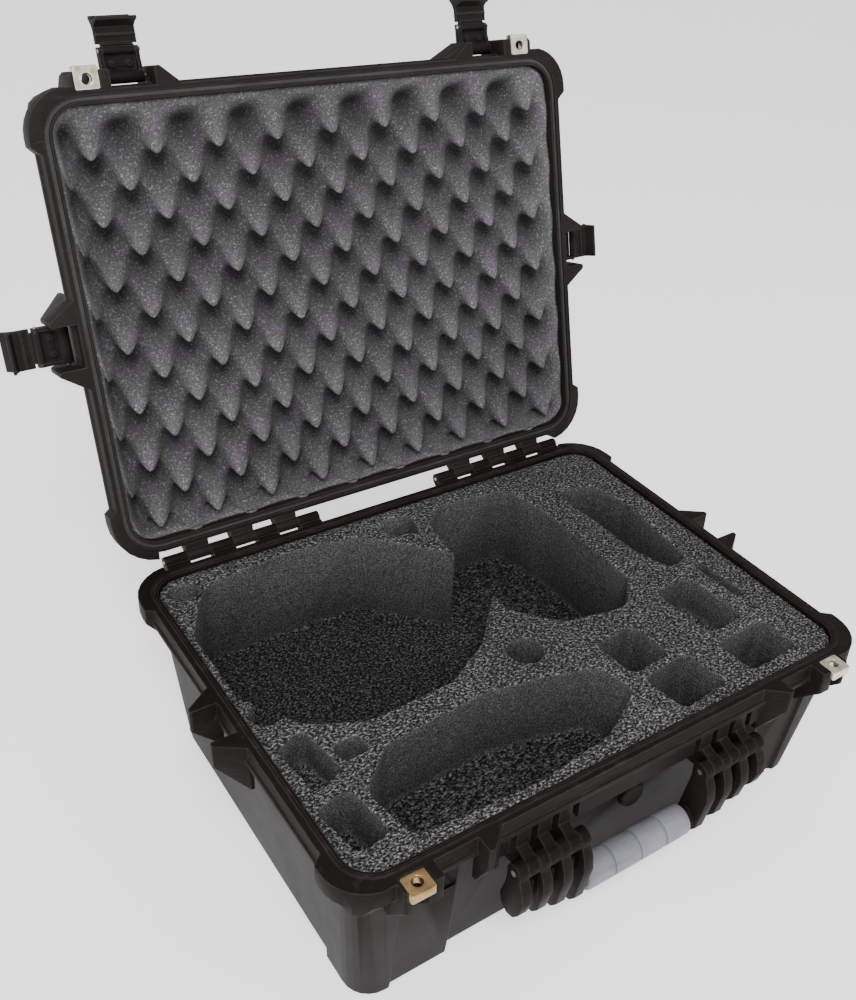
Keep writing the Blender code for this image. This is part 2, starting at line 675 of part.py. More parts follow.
def valve_cap():
    """Knurled knob on the valve."""
    seat = valve_seat_y()
    lobes = []
    for number in range(2 * VALVE_KNURLS):
        radius = 12.4 if number % 2 else 11.7
        angle = math.pi * number / VALVE_KNURLS
        lobes.append((VALVE_X + radius * math.cos(angle), VALVE_Z + radius * math.sin(angle)))
    small = [(VALVE_X + (x - VALVE_X) * 0.88, VALVE_Z + (z - VALVE_Z) * 0.88) for x, z in lobes]
    rings = ((lobes, seat - 5.3), (lobes, seat - 10.5), (small, seat - 12.0))
    return loft([[(x, y, z) for x, z in outline] for outline, y in rings])


def valve_nut():
    """Hexagonal nut that clamps the valve from inside."""
    seat = valve_seat_y()
    outline = arc((VALVE_X, VALVE_Z), 13.0, 0, 300, 5)
    nut = loft([[(x, y, z) for x, z in outline] for y in (seat + 5.3, seat + 8.6)])
    bore = rod_y((VALVE_X, VALVE_Z), VALVE_NECK_R + GAP, seat, seat + 12)
    return boolean(nut, [bore], 'DIFFERENCE')


# ---------------------------------------------------------------- foam
def foam_ring(half_x, half_y, radius, z):
    return rounded_rect(half_x - FOAM_INSET, half_y - FOAM_INSET, radius, z)


def foam_pad():
    rings = ((*CAVITY_FOOT, FLOOR_Z + 0.6), (*CAVITY_LOW, 7.6), (241.9, 171.6, 24, PAD_TOP))
    return loft([foam_ring(*ring) for ring in rings])


def round_pocket(centre, radius, facets=14):
    return arc(centre, radius, 0, 360 - 360 / facets, facets - 1)


def pocket_table():
    """Cut-outs in the foam tray: outline and depth below the foam face.

    The first two, for a headset's band and visor, open into each other.
    """
    return (
        (rounded_outline(((-245, 22), (-212, -34), (-168, -57), (-84, -54), (-34, -26), (18, 32),
                          (18, 98), (-50, 168), (-120, 180), (-209, 170), (-245, 110)), 26), 92.0),
        (rounded_outline(((14, 62), (22, 148), (48, 176), (128, 168), (140, 106), (142, -18),
                          (112, -52), (48, -40), (14, 0)), 18), 90.0),
        (rounded_outline(((-24, 152), (8, 148), (14, 178), (-18, 184)), 6, 3), 32.0),
        (rounded_outline(((172, 136), (214, 130), (226, 84), (216, -22), (190, -28), (178, 12),
                          (176, 74)), 9, 3), 58.0),
        (rounded_outline(((212, -34), (222, -36), (226, -96), (216, -96)), 4, 3), 44.0),
        (rounded_outline(((150, -50), (194, -48), (200, -118), (154, -122)), 8, 3), 40.0),
        (rounded_outline(((52, -80), (98, -76), (102, -122), (56, -126)), 6, 3), 62.0),
        (rounded_outline(((60, -136), (114, -130), (120, -176), (66, -182)), 6, 3), 62.0),
        (rounded_outline(((148, -136), (210, -132), (212, -174), (152, -178)), 6, 3), 62.0),
        (rounded_outline(((-196, -176), (-204, -122), (-168, -88), (-70, -80), (-14, -90),
                          (34, -104), (44, -142), (-10, -172), (-90, -182)), 16), 74.0),
        (round_pocket((-7, -54), 16.5), 46.0),
        (rounded_outline(((-243, -50), (-217, -38), (-209, -92), (-237, -104)), 5, 3), 36.0),
        (rounded_outline(((-206, -66), (-182, -66), (-180, -84), (-204, -86)), 4, 3), 30.0),
        (rounded_outline(((-246, -118), (-215, -112), (-208, -162), (-237, -168)), 5, 3), 48.0),
        (round_pocket((-229, 172), 13.5), 30.0),
        (round_pocket((-233, -8), 13.5), 30.0),
    )


def pocket_limits(z):
    """Half sizes that a pocket floor at height z stays inside."""
    share = (z - TRAY_LOW[2]) / (TRAY_HIGH[2] - TRAY_LOW[2])
    return [low + share * (high - low) - FOAM_INSET - POCKET_MARGIN
            for low, high in zip(TRAY_LOW[:2], TRAY_HIGH[:2])]


def foam_tray():
    rings = ((*TRAY_LOW[:2], 24, TRAY_LOW[2]), (*TRAY_HIGH[:2], 26, TRAY_HIGH[2]),
             (MOUTH_X, MOUTH_Y, MOUTH_RADIUS, 151.6), (MOUTH_X, MOUTH_Y, MOUTH_RADIUS, FOAM_TOP))
    tray = loft([foam_ring(*ring) for ring in rings])
    cuts = []
    for outline, depth in pocket_table():
        limit_x, limit_y = pocket_limits(FOAM_TOP - depth)
        low = [(max(-limit_x, min(limit_x, x)), max(-limit_y, min(limit_y, y)))
               for x, y in outline]
        cuts.append(plan_loft([(low, FOAM_TOP - depth), (outline, FOAM_TOP + 4)]))
    cuts.append(box((VALVE_X - 16, -200, VALVE_Z - 16), (VALVE_X + 16, -172, VALVE_Z + 16)))
    return boolean(tray, cuts, 'DIFFERENCE')


def lid_foam():
    rings = ((MOUTH_X, MOUTH_Y, MOUTH_RADIUS, LID_FOAM_FACE),
             (MOUTH_X, MOUTH_Y, MOUTH_RADIUS, 173.6), (*LID_CAVITY_RIM, 183.6),
             (*LID_CAVITY_TOP, 218.6), (240.4, 181.4, 20, 224.3))
    return loft([foam_ring(*ring) for ring in rings])


# ---------------------------------------------------------------- assembly
def build_base(looks):
    piece("base_shell", base_shell(), looks["shell"])
    piece("foam_pad", foam_pad(), looks["foam"])
    piece("foam_tray", foam_tray(), looks["foam"])
    plate = padlock_plate(PART_Z - PLATE_H)
    piece("padlock_plate_base_left", mirrored(plate), looks["plate"])
    piece("padlock_plate_base_right", plate, looks["plate"])
    pin = rod_x((HINGE_Y, HINGE_Z), HINGE_PIN_R, HINGE_FROM, HINGE_TO, 12)
    piece("hinge_pin_left", mirrored(pin), looks["steel"])
    piece("hinge_pin_right", pin, looks["steel"])
    pin = rod_x((HANDLE_Y, HANDLE_Z), HANDLE_PIN_R, FIN_FROM - 0.5, fin_ranges()[-1][1] + 0.5, 12)
    piece("handle_pin_left", mirrored(pin), looks["steel"])
    piece("handle_pin_right", pin, looks["steel"])
    piece("valve_body", valve_body(), looks["shell"])
    piece("valve_cap", valve_cap(), looks["shell"])
    piece("valve_nut", valve_nut(), looks["shell"])


def build_handle(looks):
    axis = empty("handle_axis", location=(0, HANDLE_Y, HANDLE_Z))
    piece("handle_frame", handle_frame(), looks["shell"], axis)
    piece("handle_grip", handle_grip(), looks["grip"], axis)


def build_lid(looks):
    hinge = (0, HINGE_Y, HINGE_Z)
    axis = empty("lid_axis", location=hinge, rotation=(-LID_OPEN, 0, 0))
    piece("lid_shell", lid_shell(), looks["shell"], axis, hinge)
    piece("lid_gasket", rim_ring(8.0, 4.6, LID_Z + 2.0, LID_Z + 3.9), looks["seal"], axis, hinge)
    piece("lid_foam", lid_foam(), looks["foam"], axis, hinge)
    plate = padlock_plate(LID_Z)
    piece("padlock_plate_lid_left", mirrored(plate), looks["plate"], axis, hinge)
    piece("padlock_plate_lid_right", plate, looks["plate"], axis, hinge)
    return axis


def build_latch(label, lid_axis, place, heading, looks):
    """One draw latch: arm on its pivot pin, pull lever on its own pin."""
    x, y = place
    pivot = empty("axis_" + label, lid_axis, (x, y - HINGE_Y, PIVOT_Z - HINGE_Z),
                  (-LATCH_OPEN, 0, heading))
    seat = empty("seat_" + label, lid_axis, (x, y - HINGE_Y, PIVOT_Z - HINGE_Z), (0, 0, heading))
    lever_axis = empty("lever_axis_" + label, pivot, (0, -0.8, -LEVER_DROP))
    pin = rod_x((0, 0), PIVOT_PIN_R, -PIVOT_PIN_HALF, PIVOT_PIN_HALF, 12)
    piece("latch_pin_" + label, pin, looks["steel"], seat)
    piece("latch_arm_" + label, latch_arm(), looks["shell"], pivot)
    pin = rod_x((0, 0), LEVER_PIN_R, -LATCH_HALF, LATCH_HALF + 1.4, 12)
    piece("lever_pin_" + label, pin, looks["steel"], lever_axis)
    piece("latch_lever_" + label, latch_lever(), looks["shell"], lever_axis)


def main():
    for old in list(bpy.data.objects):
        bpy.data.objects.remove(old)
    looks = {
        "shell": material("case_polymer", (0.022, 0.019, 0.017), 0.48),
        "foam": material("charcoal_foam", (0.060, 0.060, 0.064), 0.95),
        "grip": material("grip_rubber", (0.30, 0.30, 0.33), 0.62),
        "seal": material("seal_rubber", (0.035, 0.035, 0.035), 0.70),
        "plate": material("nickel_plate", (0.62, 0.58, 0.50), 0.28, 1.0),
        "steel": material("pin_steel", (0.35, 0.34, 0.33), 0.35, 1.0),
    }
    build_base(looks)
    build_handle(looks)
    lid_axis = build_lid(looks)
    out_y = -RIM_Y - PIVOT_OUT
    out_x = RIM_X + PIVOT_OUT
    build_latch("front_left", lid_axis, (-LATCH_X, out_y), 0, looks)
    build_latch("front_right", lid_axis, (LATCH_X, out_y), 0, looks)
    build_latch("side_left", lid_axis, (-out_x, 0), -90, looks)
    build_latch("side_right", lid_axis, (out_x, 0), 90, looks)


main()
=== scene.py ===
"""Looks of the hard carrying case: moulded shell, cut foam, egg-crate lid foam, latches and handle."""

import math

import bmesh
import bpy
from mathutils import Matrix, Vector, noise


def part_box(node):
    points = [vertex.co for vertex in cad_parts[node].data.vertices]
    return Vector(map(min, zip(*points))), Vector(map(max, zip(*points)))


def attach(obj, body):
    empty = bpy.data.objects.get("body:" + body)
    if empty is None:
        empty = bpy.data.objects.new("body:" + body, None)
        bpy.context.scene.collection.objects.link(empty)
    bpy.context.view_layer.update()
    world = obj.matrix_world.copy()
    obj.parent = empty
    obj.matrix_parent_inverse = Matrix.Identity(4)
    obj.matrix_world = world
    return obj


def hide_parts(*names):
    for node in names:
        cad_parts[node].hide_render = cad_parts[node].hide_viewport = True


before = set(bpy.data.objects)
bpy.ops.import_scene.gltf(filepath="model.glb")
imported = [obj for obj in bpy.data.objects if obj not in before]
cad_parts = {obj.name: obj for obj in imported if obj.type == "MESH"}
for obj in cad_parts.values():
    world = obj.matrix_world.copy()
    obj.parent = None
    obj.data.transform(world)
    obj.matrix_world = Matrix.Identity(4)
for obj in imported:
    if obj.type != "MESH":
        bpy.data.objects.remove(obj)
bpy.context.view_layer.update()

MM = 0.001
HINGE = Vector((0.0, 0.2149, 0.16265))      # a point on the lid's hinge line
LID_OPEN = math.radians(104)                # the lid's turn from shut to where it stands open
LID_TURN = Matrix.Rotation(-LID_OPEN, 4, 'X')
LID_PLACE = Matrix.Translation(HINGE) @ LID_TURN @ Matrix.Translation(-HINGE)

# Rounding of the CAD copies: points closer than WELD merge, edges over EDGE_ANGLE are bevelled
WELD = 0.00002
FLAT_ANGLE = math.radians(0.8)
EDGE_SEGMENTS = 2
EDGE_ANGLE = math.radians(28)
SMOOTH_ANGLE = math.radians(40)

# Egg-crate lid foam, in millimetres, with the lid shut
FOAM_HALF_X, FOAM_HALF_Y, FOAM_CORNER = 251.3, 192.5, 25.0
FOAM_FACE = 165.8                           # height of the peaks' tips
FOAM_STEP = 2.4                             # spacing of the face's grid
FOAM_LIP, FOAM_LIP_RISE = 2.0, 1.4          # width and height of the face's rounded edge
FOAM_BACK = ((2.0, 196.0), (7.0, 219.0))    # inset and height of each ring behind the face
EGG_X, EGG_Y = 28.0, 27.5                   # half pitches of the staggered peaks
EGG_PHASE = (-216.0, -7.0)                  # place of one peak's tip before it droops
EGG_DROOP = (-8.0, 22.0)                    # a peak's tip moves this far to the side and to the hinge
EGG_LEAN = 1.4                              # a higher power keeps the droop nearer the tip
EGG_DEEP = 33.0                             # depth of the hollows between the peaks
EGG_TIP = 0.15                              # how blunt a peak's tip is
EGG_FADE = 17.0                             # width of the edge band where the peaks flatten
EGG_LEAST = 0.14                            # share of the depth left at the very edge
FOAM_GRIT, FOAM_GRIT_SCALE = 0.4, 0.33      # height and fineness of the rough surface

# Handle grip, in millimetres
GRIP_BORE = 9.8
GRIP_END = ((0.0, 2.0), (0.7, 0.8), (2.4, 0.2))     # rounded end: (from the end, below the surface)
GRIP_GROOVE = ((-1.6, 0.0), (-1.0, 0.35), (-0.7, 1.5), (0.7, 1.5), (1.0, 0.35), (1.6, 0.0))
GRIP_RINGS = (-0.5, 0.0, 0.5)                       # places of the grooves, as shares of the half length
GRIP_FACETS = 64

# Studio, in metres
FLOOR_SIZE = 60
FLOOR_DROP = 0.0002                         # the floor lies this far below the case
FLOOR_GLOW = 0.8
SKY_STRENGTH = 0.80
LAMP_AIM = Vector((0, 0.05, 0.2))
LAMPS = (("key", (-0.9, -1.5, 2.3), 0.8, 64.0),     # name, place, size, power in watts
         ("side", (-2.4, -0.8, 1.0), 1.4, 18.0),
         ("fill", (1.8, -1.6, 1.6), 1.6, 12.0))

# Camera: direction from the case, roll, place, lens in millimetres
CAMERA_AZIMUTH = math.radians(-38.07)
CAMERA_ELEVATION = math.radians(32.03)
CAMERA_ROLL = math.radians(4.8875)
CAMERA_PLACE = (-0.5052, -0.6409, 0.8214)
CAMERA_SENSOR, CAMERA_LENS = 36.0, 41.09
CAMERA_SHIFT = (-0.0781, -0.0270)
CAMERA_CLIP = 0.02


# ---------------------------------------------------------------- material tools
class Look:
    """A procedural Principled material, built node by node."""

    def __init__(self, name, roughness=0.5, metallic=0.0, specular=0.5):
        self.made = bpy.data.materials.new(name)
        self.made.use_nodes = True
        self.tree = self.made.node_tree
        self.shader = self.tree.nodes["Principled BSDF"]
        self.shader.inputs["Roughness"].default_value = roughness
        self.shader.inputs["Metallic"].default_value = metallic
        self.shader.inputs["Specular IOR Level"].default_value = specular
        self.coord = self.tree.nodes.new("ShaderNodeTexCoord")

    def link(self, source, target):
        self.tree.links.new(source, target)

    def place(self, scale=(1, 1, 1), turn=(0, 0, 0)):
        node = self.tree.nodes.new("ShaderNodeMapping")
        node.inputs["Scale"].default_value = scale
        node.inputs["Rotation"].default_value = turn
        self.link(self.coord.outputs["Object"], node.inputs["Vector"])
        return node.outputs["Vector"]

    def noise(self, scale, detail=3.0, rough=0.5, vector=None):
        node = self.tree.nodes.new("ShaderNodeTexNoise")
        node.inputs["Scale"].default_value = scale
        node.inputs["Detail"].default_value = detail
        node.inputs["Roughness"].default_value = rough
        self.link(vector or self.coord.outputs["Object"], node.inputs["Vector"])
        return node.outputs["Fac"]

    def ramp(self, value, *stops):
        node = self.tree.nodes.new("ShaderNodeValToRGB")
        elements = node.color_ramp.elements
        while len(elements) < len(stops):
            elements.new(0.5)
        for element, (at, level) in zip(elements, stops):
            element.position = at
            element.color = (level, level, level, 1) if isinstance(level, (int, float)) else (*level, 1)
        self.link(value, node.inputs["Fac"])
        return node.outputs["Color"]

    def mix(self, factor, low, high, blend='MIX'):
        node = self.tree.nodes.new("ShaderNodeMix")
        node.data_type = 'RGBA'
        node.blend_type = blend
        for socket, value in ((node.inputs[0], factor), (node.inputs[6], low), (node.inputs[7], high)):
            if hasattr(value, "is_output"):
                self.link(value, socket)
            elif isinstance(value, (int, float)):
                socket.default_value = value
            else:
                socket.default_value = (*value, 1)
        return node.outputs[2]

    def math(self, operation, first, second=0.0):
        node = self.tree.nodes.new("ShaderNodeMath")
        node.operation = operation
        node.use_clamp = True
        for socket, value in zip(node.inputs, (first, second)):
            if hasattr(value, "is_output"):
                self.link(value, socket)
            else:
                socket.default_value = value
        return node.outputs["Value"]

    def edge_mask(self, radius):
        """White on worn convex edges, black on flat ground."""
        bevel = self.tree.nodes.new("ShaderNodeBevel")
        bevel.samples = 4
        bevel.inputs["Radius"].default_value = radius
        normal = self.tree.nodes.new("ShaderNodeNewGeometry")
        dot = self.tree.nodes.new("ShaderNodeVectorMath")
        dot.operation = 'DOT_PRODUCT'
        self.link(bevel.outputs["Normal"], dot.inputs[0])
        self.link(normal.outputs["Normal"], dot.inputs[1])
        return self.ramp(dot.outputs["Value"], (0.90, 1.0), (0.995, 0.0))

    def height(self, vector=None):
        """Height of a point in metres, in the object's own frame or in a turned one."""
        split = self.tree.nodes.new("ShaderNodeSeparateXYZ")
        self.link(vector or self.coord.outputs["Object"], split.inputs[0])
        return split.outputs["Z"]

    def upward(self):
        """Share of the normal that points up."""
        normal = self.tree.nodes.new("ShaderNodeNewGeometry")
        split = self.tree.nodes.new("ShaderNodeSeparateXYZ")
        self.link(normal.outputs["Normal"], split.inputs[0])
        return split.outputs["Z"]

    def colour(self, value):
        self.link(value, self.shader.inputs["Base Color"])

    def roughness(self, value):
        self.link(value, self.shader.inputs["Roughness"])

    def bump(self, *layers):
        """Bump layers as (height, strength, distance in metres), coarse first."""
        below = None
        for height, strength, distance in layers:
            node = self.tree.nodes.new("ShaderNodeBump")
            node.inputs["Strength"].default_value = strength
            node.inputs["Distance"].default_value = distance
            self.link(height, node.inputs["Height"])
            if below:
                self.link(below, node.inputs["Normal"])
            below = node.outputs["Normal"]
        self.link(below, self.shader.inputs["Normal"])


def shell_look(name, dark, light):
    """Moulded plastic: a cloudy dark ground with fine grain, dusty scuffs and worn edges."""
    look = Look(name, specular=0.06)
    cloud = look.noise(7.0, 6.0, 0.62)
    grain = look.noise(1100.0, 2.0, 0.6)
    scuff = look.noise(60.0, 8.0, 0.72, look.place((1.0, 1.0, 9.0), (0.4, 0.3, 0.2)))
    ground = look.mix(look.ramp(cloud, (0.32, 0.0), (0.72, 1.0)), dark, light)
    speck = look.ramp(grain, (0.55, 0.0), (0.75, 0.35))
    ground = look.mix(speck, ground, tuple(v * 1.8 + 0.006 for v in light))
    dust = look.math('MULTIPLY', look.ramp(scuff, (0.56, 0.0), (0.70, 1.0)), 0.35)
    ground = look.mix(dust, ground, (0.045, 0.038, 0.033))
    wear = look.math('MULTIPLY', look.edge_mask(0.0016), look.ramp(scuff, (0.36, 0.25), (0.6, 0.9)))
    wear = look.math('MULTIPLY', wear, 0.55)
    look.colour(look.mix(wear, ground, (0.085, 0.074, 0.066)))
    look.roughness(look.ramp(cloud, (0.3, 0.46), (0.7, 0.62)))
    look.bump((scuff, 0.12, 0.0006), (grain, 0.35, 0.00025))
    return look.made


def tray_foam_look():
    """Cut foam: a coarse speckled top, finer walls, and painted shade that darkens the colour the lower
    it lies.
    """
    look = Look("tray_foam", roughness=0.97, specular=0.10)
    speck = look.noise(370.0, 3.0, 0.74, look.place((1.0, 1.5, 1.0), (0, 0, 0.5)))
    crumb = look.noise(760.0, 2.0, 0.65)
    fine = look.noise(1500.0, 2.0, 0.6)
    cloud = look.noise(9.0, 4.0, 0.6)
    top = look.ramp(speck, (0.40, 0.006), (0.50, 0.030), (0.57, 0.120), (0.66, 0.300))
    wall = look.ramp(crumb, (0.34, 0.030), (0.50, 0.062), (0.64, 0.150))
    facing = look.ramp(look.upward(), (0.35, 0.0), (0.8, 1.0))
    ground = look.mix(facing, wall, top)
    # Painted shade: the colour is multiplied darker the lower a point lies, standing in for the shade
    # that falls deep in the cut pockets
    painted_depth_shading = look.ramp(look.height(), (0.070, 0.42), (0.158, 1.0))
    shade = look.ramp(cloud, (0.3, 0.80), (0.7, 1.12))
    ground = look.mix(1.0, ground, shade, 'MULTIPLY')
    look.colour(look.mix(1.0, ground, painted_depth_shading, 'MULTIPLY'))
    look.bump((speck, 0.8, 0.0016), (fine, 0.4, 0.0004))
    return look.made


def lid_foam_look():
    """Egg-crate foam: grey with plum patches and pale specks, with painted shade in the hollows and a
    painted highlight on the peaks' tips.
    """
    look = Look("lid_foam", roughness=0.96, specular=0.12)
    speck = look.noise(520.0, 3.0, 0.7)
    fine = look.noise(1600.0, 2.0, 0.6)
    cloud = look.noise(8.0, 4.0, 0.6)
    tint = look.ramp(look.noise(38.0, 3.0, 0.6), (0.52, 0.0), (0.70, 0.75))
    grey = look.ramp(speck, (0.38, 0.056), (0.58, 0.094), (0.74, 0.340))
    plum = look.ramp(speck, (0.38, (0.074, 0.054, 0.080)), (0.58, (0.116, 0.090, 0.124)),
                     (0.74, (0.36, 0.30, 0.38)))
    ground = look.mix(tint, grey, plum)
    shade = look.ramp(cloud, (0.3, 0.86), (0.7, 1.10))
    ground = look.mix(1.0, ground, shade, 'MULTIPLY')
    # Painted light and shade: measured in the shut lid's frame, the colour is brightened at the peaks'
    # tips and darkened down into the hollows between them
    shut = look.height(look.place(turn=(LID_OPEN, 0, 0)))
    face = HINGE.y * math.sin(LID_OPEN) + HINGE.z * math.cos(LID_OPEN) + FOAM_FACE * MM - HINGE.z
    painted_depth_shading = look.ramp(shut, (face + 0.002, 1.25), (face + 0.016, 0.80), (face + EGG_DEEP * MM, 0.33))
    look.colour(look.mix(1.0, ground, painted_depth_shading, 'MULTIPLY'))
    look.bump((speck, 0.4, 0.0009), (fine, 0.4, 0.0004))
    return look.made


def metal_look(name, bright, stain, roughness):
    """Plated or plain metal with stained patches, brushing and bright worn edges."""
    look = Look(name, roughness=roughness, metallic=1.0)
    patch = look.noise(120.0, 6.0, 0.65)
    brush = look.noise(700.0, 3.0, 0.6, look.place((1, 18, 1)))
    ground = look.mix(look.ramp(patch, (0.42, 0.0), (0.66, 0.85)), bright, stain)
    wear = look.math('MULTIPLY', look.edge_mask(0.0010), 0.7)
    look.colour(look.mix(wear, ground, tuple(min(1.0, v * 1.25) for v in bright)))
    look.roughness(look.ramp(brush, (0.3, roughness - 0.06), (0.7, roughness + 0.16)))
    look.bump((brush, 0.15, 0.0002))
    return look.made


def rubber_look(name, dark, light, roughness):
    """Rubber with faint clouds, streaks of grime and a fine grain."""
    look = Look(name, roughness=roughness, specular=0.4)
    cloud = look.noise(26.0, 6.0, 0.6)
    grain = look.noise(1300.0, 2.0, 0.5)
    streak = look.noise(90.0, 5.0, 0.7, look.place((0.25, 3.0, 3.0)))
    ground = look.mix(look.ramp(cloud, (0.32, 0.0), (0.68, 1.0)), dark, light)
    grime = look.math('MULTIPLY', look.ramp(streak, (0.52, 0.0), (0.72, 1.0)), 0.35)
    look.colour(look.mix(grime, ground, tuple(v * 0.45 for v in dark)))
    look.roughness(look.ramp(streak, (0.3, roughness - 0.1), (0.7, roughness + 0.1)))
    look.bump((streak, 0.1, 0.0004), (grain, 0.25, 0.0002))
    return look.made


# ---------------------------------------------------------------- geometry tools
def paint(mesh, look):
    mesh.materials.clear()
    mesh.materials.append(look)


def add_object(name, mesh, look):
    paint(mesh, look)
    made = bpy.data.objects.new(name, mesh)
    bpy.context.scene.collection.objects.link(made)
    return made


def apply_modifiers(made):
    evaluated = made.evaluated_get(bpy.context.evaluated_depsgraph_get())
    mesh = bpy.data.meshes.new_from_object(evaluated)
    made.modifiers.clear()
    old = made.data
    made.data = mesh
    bpy.data.meshes.remove(old)


def bevelled(node, look, width):
    """Copy of a CAD node with its edges rounded."""
    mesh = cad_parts[node].data.copy()
    bm = bmesh.new()
    bm.from_mesh(mesh)
    bmesh.ops.remove_doubles(bm, verts=bm.verts, dist=WELD)
    bmesh.ops.dissolve_limit(bm, angle_limit=FLAT_ANGLE, verts=bm.verts, edges=bm.edges)
    bm.to_mesh(mesh)
    bm.free()
    made = add_object("v_" + node, mesh, look)
    bevel = made.modifiers.new("edge", 'BEVEL')
    bevel.width = width
    bevel.segments = EDGE_SEGMENTS
    bevel.limit_method = 'ANGLE'
    bevel.angle_limit = EDGE_ANGLE
    bevel.miter_outer = 'MITER_ARC'
    apply_modifiers(made)
    made.data.shade_smooth()
    made.data.set_sharp_from_angle(angle=SMOOTH_ANGLE)
    return made


def stands_for(made, node, body):
    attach(made, body)
    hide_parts(node)
    return made


# ---------------------------------------------------------------- foam
def roughened(mesh, height, scale):
    """Porous foam surface: every vertex moves a little along its normal."""
    bm = bmesh.new()
    bm.from_mesh(mesh)
    bm.normal_update()
    for vert in bm.verts:
        vert.co += vert.normal * (noise.noise(vert.co * scale) * height - height * 0.5)
    bm.to_mesh(mesh)
    bm.free()


def porous(node, look, voxel, height, scale):
    """Copy of a foam node with softened edges and a slightly uneven surface."""
    made = add_object("v_" + node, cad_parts[node].data.copy(), look)
    remesh = made.modifiers.new("cells", 'REMESH')
    remesh.mode = 'VOXEL'
    remesh.voxel_size = voxel
    apply_modifiers(made)
    roughened(made.data, height, scale)
    made.data.shade_smooth()
    return made


def in_mouth(x, y):
    """Distance inside the rounded foam mouth, negative outside."""
    dx, dy = abs(x) - (FOAM_HALF_X - FOAM_CORNER), abs(y) - (FOAM_HALF_Y - FOAM_CORNER)
    outside = math.hypot(max(dx, 0), max(dy, 0)) + min(max(dx, dy), 0)
    return FOAM_CORNER - outside


def to_mouth(u, v):
    """Maps a grid square from -1 to 1 onto the rounded foam mouth."""
    x, y = u * FOAM_HALF_X, v * FOAM_HALF_Y
    corner_x, corner_y = abs(x) - (FOAM_HALF_X - FOAM_CORNER), abs(y) - (FOAM_HALF_Y - FOAM_CORNER)
    if corner_x > 0 and corner_y > 0:
        shrink = max(corner_x, corner_y) / math.hypot(corner_x, corner_y)
        x = math.copysign(FOAM_HALF_X - FOAM_CORNER + corner_x * shrink, x)
        y = math.copysign(FOAM_HALF_Y - FOAM_CORNER + corner_y * shrink, y)
    return x, y


def egg_point(x, y):
    """Point of the egg-crate surface in millimetres, closed-lid coordinates; the peaks droop."""
    wave = (math.cos(math.pi * (x - EGG_PHASE[0]) / EGG_X)
            * math.cos(math.pi * (y - EGG_PHASE[1]) / EGG_Y))
    blunt = math.sqrt(EGG_TIP)
    fall = (math.sqrt((1 - wave) / 2 + EGG_TIP) - blunt) / (math.sqrt(1 + EGG_TIP) - blunt)
    inward = min(max(in_mouth(x, y) / EGG_FADE, 0.0), 1.0)
    share = inward * inward * (3 - 2 * inward)
    lean = share * (1 - fall) ** EGG_LEAN
    grit = noise.noise(Vector((x, y, 0)) * FOAM_GRIT_SCALE) * FOAM_GRIT
    return (x + lean * EGG_DROOP[0], y + lean * EGG_DROOP[1],
            FOAM_FACE + EGG_DEEP * fall * (EGG_LEAST + (1 - EGG_LEAST) * share) + FOAM_GRIT + grit)


def lid_foam(look):
    """Egg-crate block: a waved face, straight sides and a flat back."""
    bm = bmesh.new()
    columns = 2 * int(FOAM_HALF_X // FOAM_STEP) + 1
    rows = 2 * int(FOAM_HALF_Y // FOAM_STEP) + 1
    grid = []
    for row in range(rows):
        line = []
        for column in range(columns):
            flat = to_mouth(2 * column / (columns - 1) - 1, 2 * row / (rows - 1) - 1)
            edge = in_mouth(*flat)
            x, y, z = egg_point(*flat)
            if edge < FOAM_LIP:
                z += FOAM_LIP_RISE * (1 - edge / FOAM_LIP)
            line.append(bm.verts.new((x * MM, y * MM, z * MM)))
        grid.append(line)
    for low, high in zip(grid, grid[1:]):
        for i in range(columns - 1):
            bm.faces.new((low[i], high[i], high[i + 1], low[i + 1]))
    rim = (grid[0][:-1] + [line[-1] for line in grid[:-1]] + grid[-1][:0:-1]
           + [line[0] for line in grid[:0:-1]])
    below = rim
    for inset, z in FOAM_BACK:
        ring = []
        for vert in rim:
            shift = Vector((vert.co.x, vert.co.y, 0))
            shift = shift * (1 - inset * MM / shift.length)
            ring.append(bm.verts.new((shift.x, shift.y, z * MM)))
        for i in range(len(rim)):
            j = (i + 1) % len(rim)
            bm.faces.new((below[i], below[j], ring[j], ring[i]))
        below = ring
    bm.faces.new(below)
    bmesh.ops.recalc_face_normals(bm, faces=bm.faces)
    bm.transform(LID_PLACE)
    mesh = bpy.data.meshes.new("v_lid_foam")
    bm.to_mesh(mesh)
    bm.free()
    made = add_object("v_lid_foam", mesh, look)
    made.data.shade_smooth()
    return made


# ---------------------------------------------------------------- handle grip
def grip(look):
    """Lathed soft grip with three thin ring grooves and rounded ends."""
    low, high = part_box("handle_grip")
    centre_y, centre_z = (low[1] + high[1]) / 2, (low[2] + high[2]) / 2
    half, radius = (high[0] - low[0]) / 2, (high[2] - low[2]) / 2
    profile = [(-half, GRIP_BORE * MM)]
    profile += [(-half + along * MM, radius - drop * MM) for along, drop in GRIP_END]
    for share in GRIP_RINGS:
        profile += [(share * half + shift * MM, radius - depth * MM) for shift, depth in GRIP_GROOVE]
    profile += [(half - along * MM, radius - drop * MM) for along, drop in reversed(GRIP_END)]
    profile.append((half, GRIP_BORE * MM))
    bm = bmesh.new()
    turns = [2 * math.pi * k / GRIP_FACETS for k in range(GRIP_FACETS)]
    rows = []
    for x, r in profile:
        rows.append([bm.verts.new((x, centre_y + r * math.cos(turn), centre_z + r * math.sin(turn)))
                     for turn in turns])
    rows.append(rows[0])
    for low_row, high_row in zip(rows, rows[1:]):
        for k in range(GRIP_FACETS):
            n = (k + 1) % GRIP_FACETS
            bm.faces.new((low_row[k], low_row[n], high_row[n], high_row[k]))
    bmesh.ops.recalc_face_normals(bm, faces=bm.faces)
    mesh = bpy.data.meshes.new("v_handle_grip")
    bm.to_mesh(mesh)
    bm.free()
    made = add_object("v_handle_grip", mesh, look)
    made.data.shade_smooth()
    made.data.set_sharp_from_angle(angle=math.radians(50))
    return made


